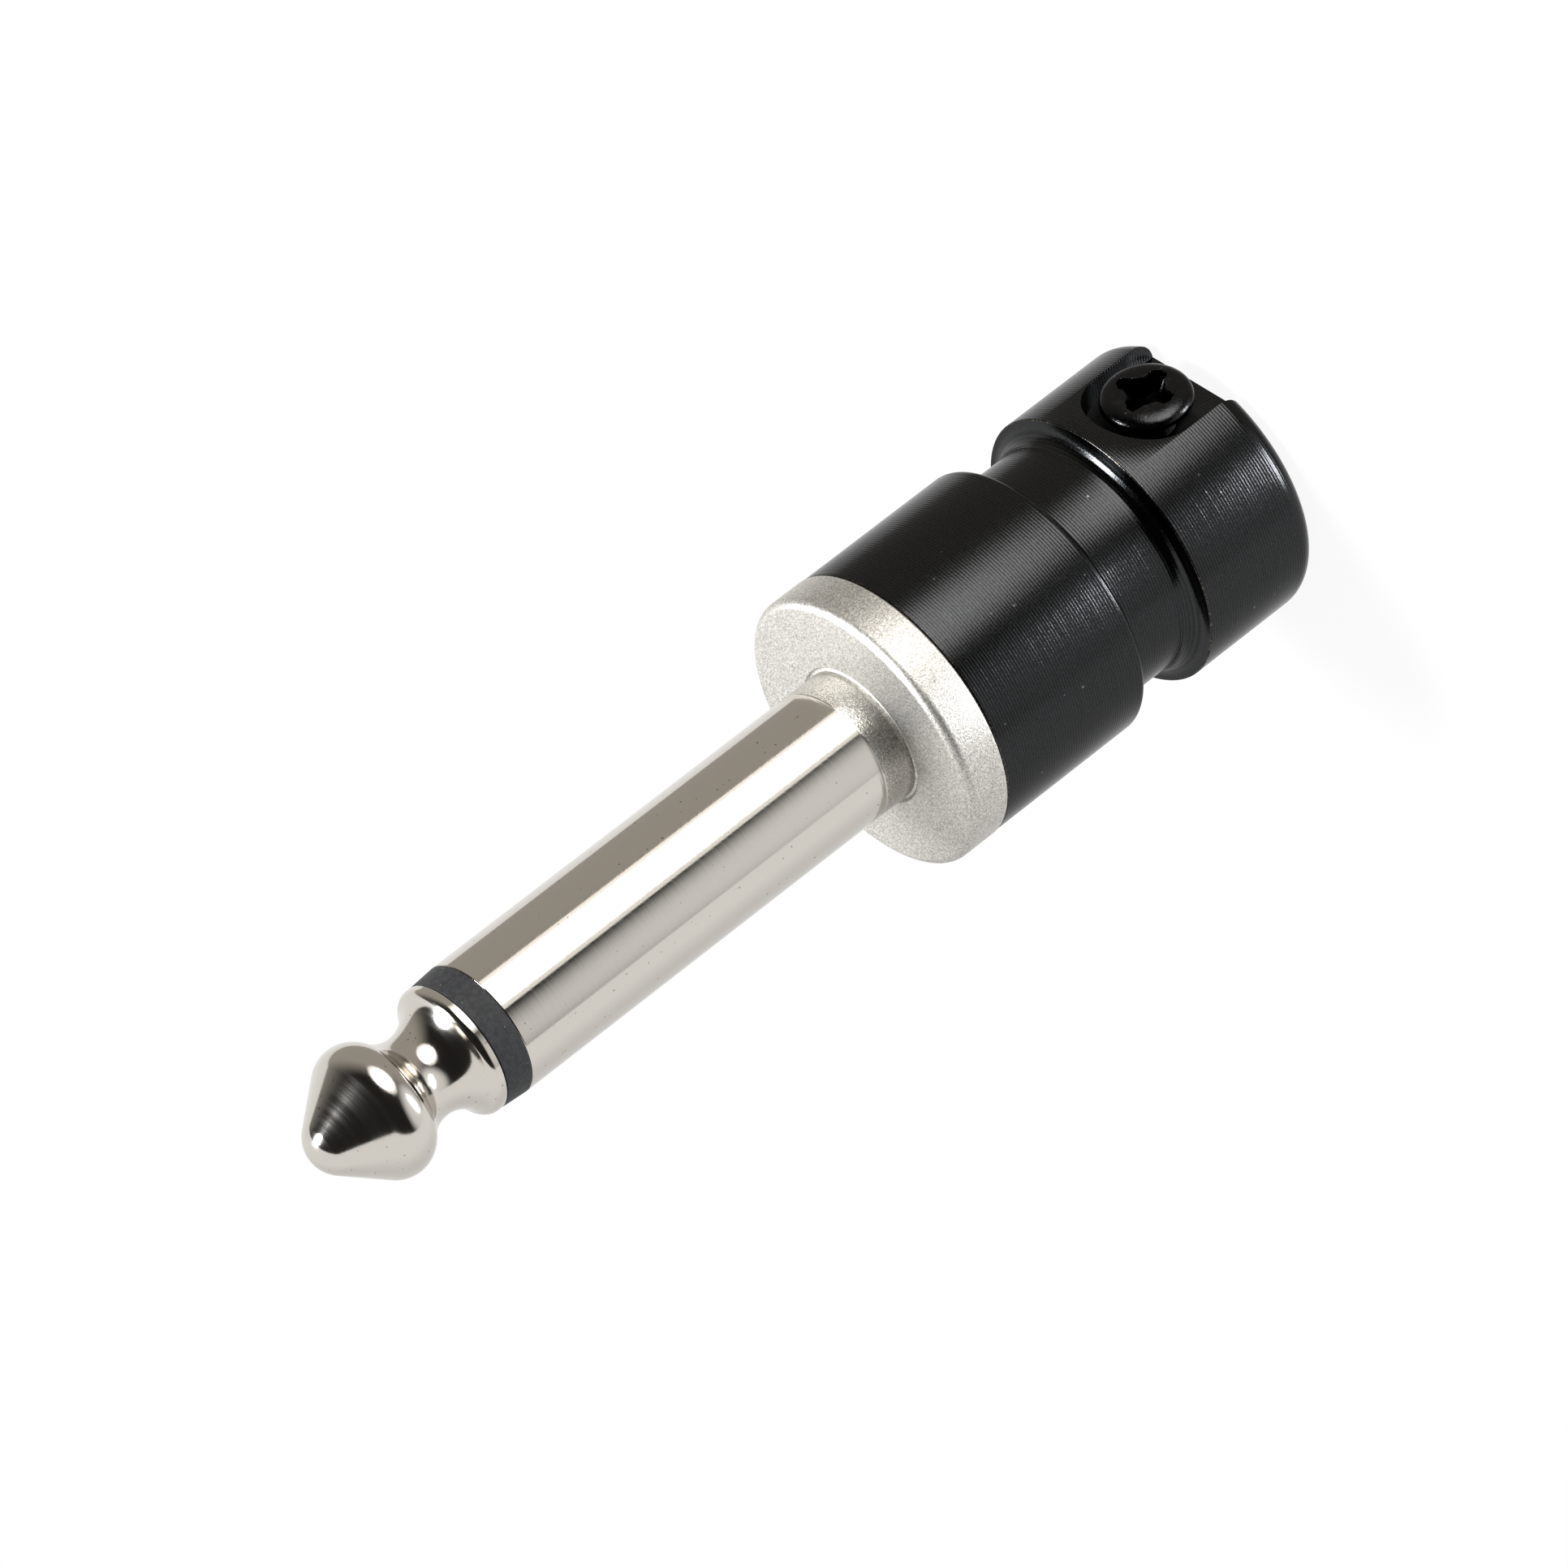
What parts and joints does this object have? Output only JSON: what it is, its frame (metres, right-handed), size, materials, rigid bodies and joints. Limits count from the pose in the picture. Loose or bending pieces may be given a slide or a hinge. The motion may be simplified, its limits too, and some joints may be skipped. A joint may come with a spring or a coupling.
{
  "type": "mono jack plug",
  "caption": "Mono jack plug with a nickel shaft and tip, a turned black housing and a side screw that clamps the cable.",
  "frame": {"origin": "middle of the tail's end face, on the surface the plug stands on", "axes": "+Z along the plug's axis from the tail to the tip; the clamp screw faces -Y"},
  "size_m": [0.0132, 0.0132, 0.052],
  "materials": {
    "nickel_tip": "polished nickel plate",
    "nickel_sleeve": "nickel plate, polished shaft, blasted flange and collar",
    "ring_plastic": "matte black",
    "inner_plastic": "natural",
    "spike_brass": "turned",
    "black_housing": "satin black plate with fine turning lines",
    "black_screw": "black oxide"
  },
  "bodies": {
    "plug": {"housing": "black_housing", "sleeve": "nickel_sleeve", "tip_contact": "nickel_tip", "tip_insulator": "ring_plastic", "rod_insulator": "inner_plastic", "rear_insulator": "inner_plastic", "contact_spike": "spike_brass"},
    "screw": {"clamp_screw": "black_screw"}
  },
  "joints": [
    {"name": "clamp_screw_travel", "type": "slide", "parent": "plug", "child": "screw", "axis": [0, -1, 0], "range_m": [-0.00108, 0.0018]}
  ]
}
